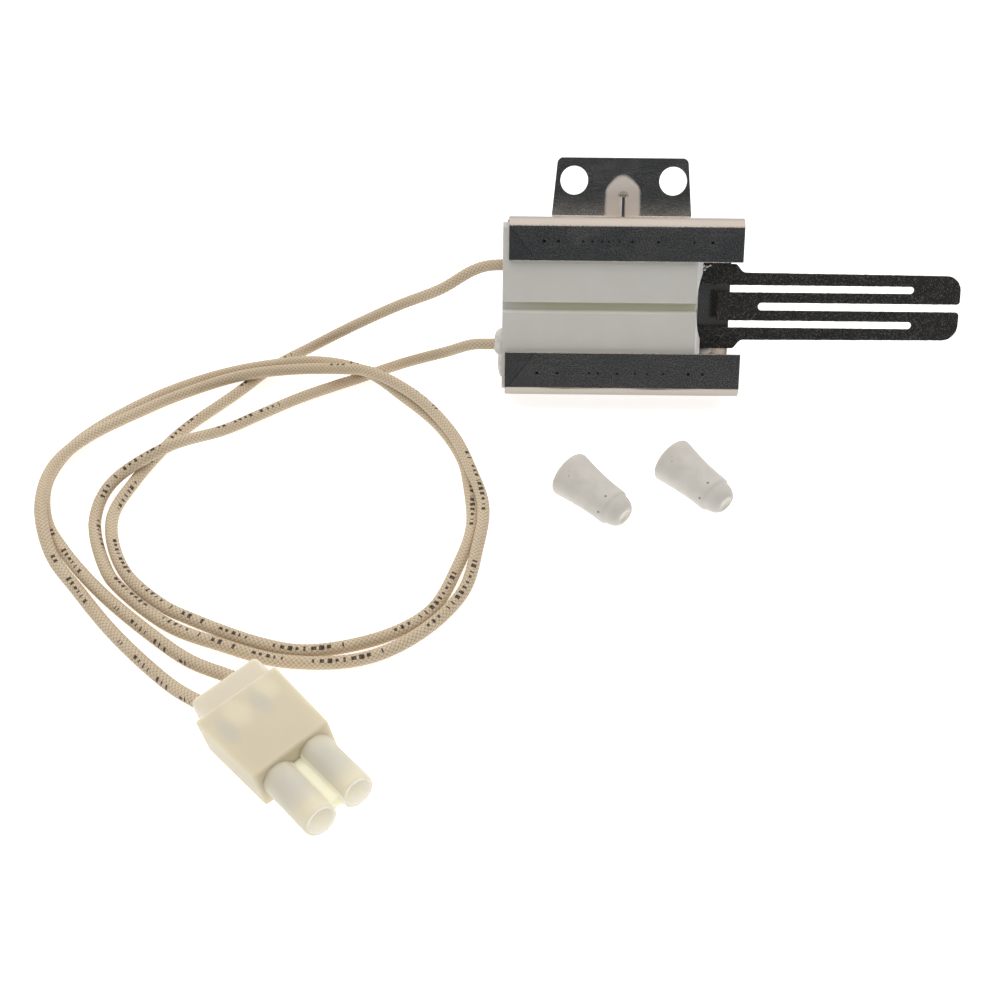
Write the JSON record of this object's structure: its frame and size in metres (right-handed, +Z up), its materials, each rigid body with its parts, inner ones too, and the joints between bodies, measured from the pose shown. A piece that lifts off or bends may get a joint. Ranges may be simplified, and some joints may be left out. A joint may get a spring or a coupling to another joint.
{
  "type": "hot surface igniter",
  "caption": "Flat silicon-carbide hot-surface igniter in a ceramic block and bent-sheet bracket, with two long braided leads to a plug and ceramic wire nuts beside it.",
  "frame": {"origin": "on the rear face of the mounting tab, midway between the two screw holes", "axes": "+X along the element towards its tip, +Z up; the igniter leans back 30 degrees from upright, so its front face looks along -Y and up"},
  "size_m": [0.229, 0.1704, 0.0525],
  "materials": {
    "bracket_steel": "bright stainless sheet, smooth, with rounded bends",
    "block_ceramic": "unglazed grey-white, slightly rough",
    "silicon_carbide": "recrystallised silicon carbide, near black, sandy",
    "white_cement": "white refractory cement, rough",
    "nickel_strip": "nickel plate, satin",
    "plated_copper": "stranded, nickel plated",
    "glass_braid": "woven glass sleeve, tan, varnished",
    "natural_nylon": "uncoloured nylon, milky and translucent",
    "nut_ceramic": "unglazed porcelain, warm white with dark specks"
  },
  "bodies": {
    "igniter": {"mounting_bracket": "bracket_steel", "ceramic_front_half": "block_ceramic", "ceramic_rear_half": "block_ceramic", "silicon_carbide_element": "silicon_carbide", "element_cement": "white_cement", "upper_terminal_strip": "nickel_strip", "lower_terminal_strip": "nickel_strip", "upper_crimp_ferrule": "nickel_strip", "lower_crimp_ferrule": "nickel_strip", "upper_lead_core": "plated_copper", "lower_lead_core": "plated_copper", "upper_lead_cement": "white_cement", "lower_lead_cement": "white_cement", "upper_lead": "glass_braid", "lower_lead": "glass_braid", "plug_housing": "natural_nylon", "left_plug_contact": "nickel_strip", "right_plug_contact": "nickel_strip", "left_plug_core": "plated_copper", "right_plug_core": "plated_copper"},
    "wire_nut_left": {"wire_nut_left": "nut_ceramic"},
    "wire_nut_right": {"wire_nut_right": "nut_ceramic"}
  },
  "joints": [
    {"name": "wire_nut_left_lift", "type": "slide", "parent": "igniter", "child": "wire_nut_left", "axis": [0, 0, 1], "range_m": [0, 0.06]},
    {"name": "wire_nut_right_lift", "type": "slide", "parent": "igniter", "child": "wire_nut_right", "axis": [0, 0, 1], "range_m": [0, 0.06]}
  ]
}
